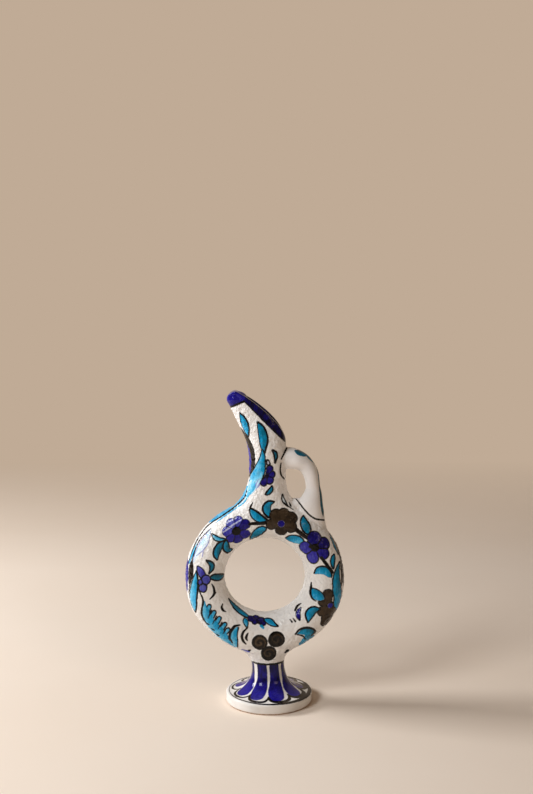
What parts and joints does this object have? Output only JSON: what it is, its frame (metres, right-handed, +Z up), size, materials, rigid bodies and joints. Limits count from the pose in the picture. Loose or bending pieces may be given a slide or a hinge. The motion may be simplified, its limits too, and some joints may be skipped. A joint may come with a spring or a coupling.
{
  "type": "ring carafe",
  "caption": "Footed ring-bodied carafe in painted glazed earthenware, with a hollow upright ring, a beak-spouted neck, a loop handle and a bell-shaped pedestal foot.",
  "frame": {"origin": "on the table, below the centre of the ring", "axes": "+Z up, +X from the beak towards the handle, +Y along the ring's axis away from the front"},
  "size_m": [0.1004, 0.0552, 0.2],
  "materials": {
    "painted_foot": "glossy white glaze with painted blue petals and a bare clay edge below",
    "painted_body": "glossy white glaze over a stippled ground, with painted flowers in blue, turquoise and brown-black",
    "painted_neck": "glossy white glaze over a stippled ground, with painted leaves and a blue mouth band",
    "plain_glaze": "smooth glossy white glaze"
  },
  "bodies": {
    "root": {"pedestal_foot": "painted_foot", "ring_front_shell": "painted_body", "ring_back_shell": "painted_body", "neck_spout": "painted_neck", "handle": "plain_glaze"}
  },
  "joints": []
}
